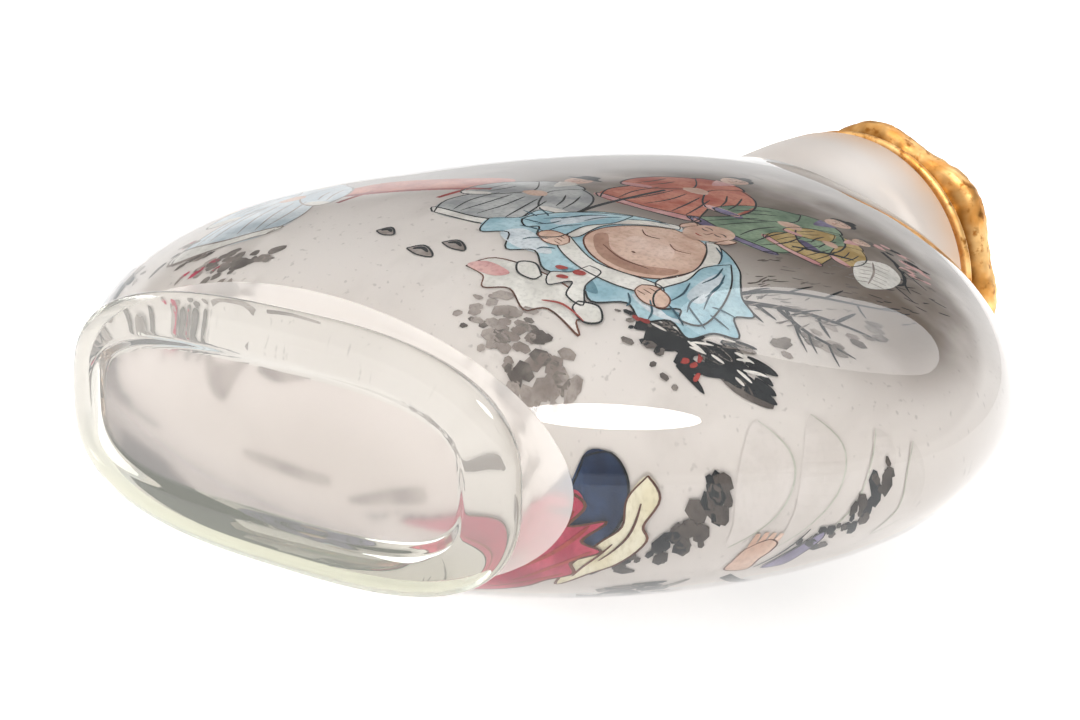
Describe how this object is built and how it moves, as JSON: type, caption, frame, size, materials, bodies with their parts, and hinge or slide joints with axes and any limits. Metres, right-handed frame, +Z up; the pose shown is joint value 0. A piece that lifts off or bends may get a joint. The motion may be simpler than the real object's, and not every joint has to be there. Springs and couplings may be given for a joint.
{
  "type": "snuff bottle",
  "caption": "Flattened oval snuff bottle of thick clear glass, painted inside, with a low oval foot, a round neck and a lobed gilt collar at its open mouth; lies on its broad side.",
  "frame": {"origin": "centre of the bounding box at the surface it lies on", "axes": "+Y along the bottle from foot to mouth, +X across its width, +Z up through its broad faces"},
  "size_m": [0.063, 0.0666, 0.0236],
  "materials": {
    "clear_glass": "polished clear glass with a faint green tint",
    "gilt_metal": "hammered gilt metal with dark hollows"
  },
  "bodies": {
    "root": {"bottle": "clear_glass", "gilt_collar": "gilt_metal"}
  },
  "joints": []
}
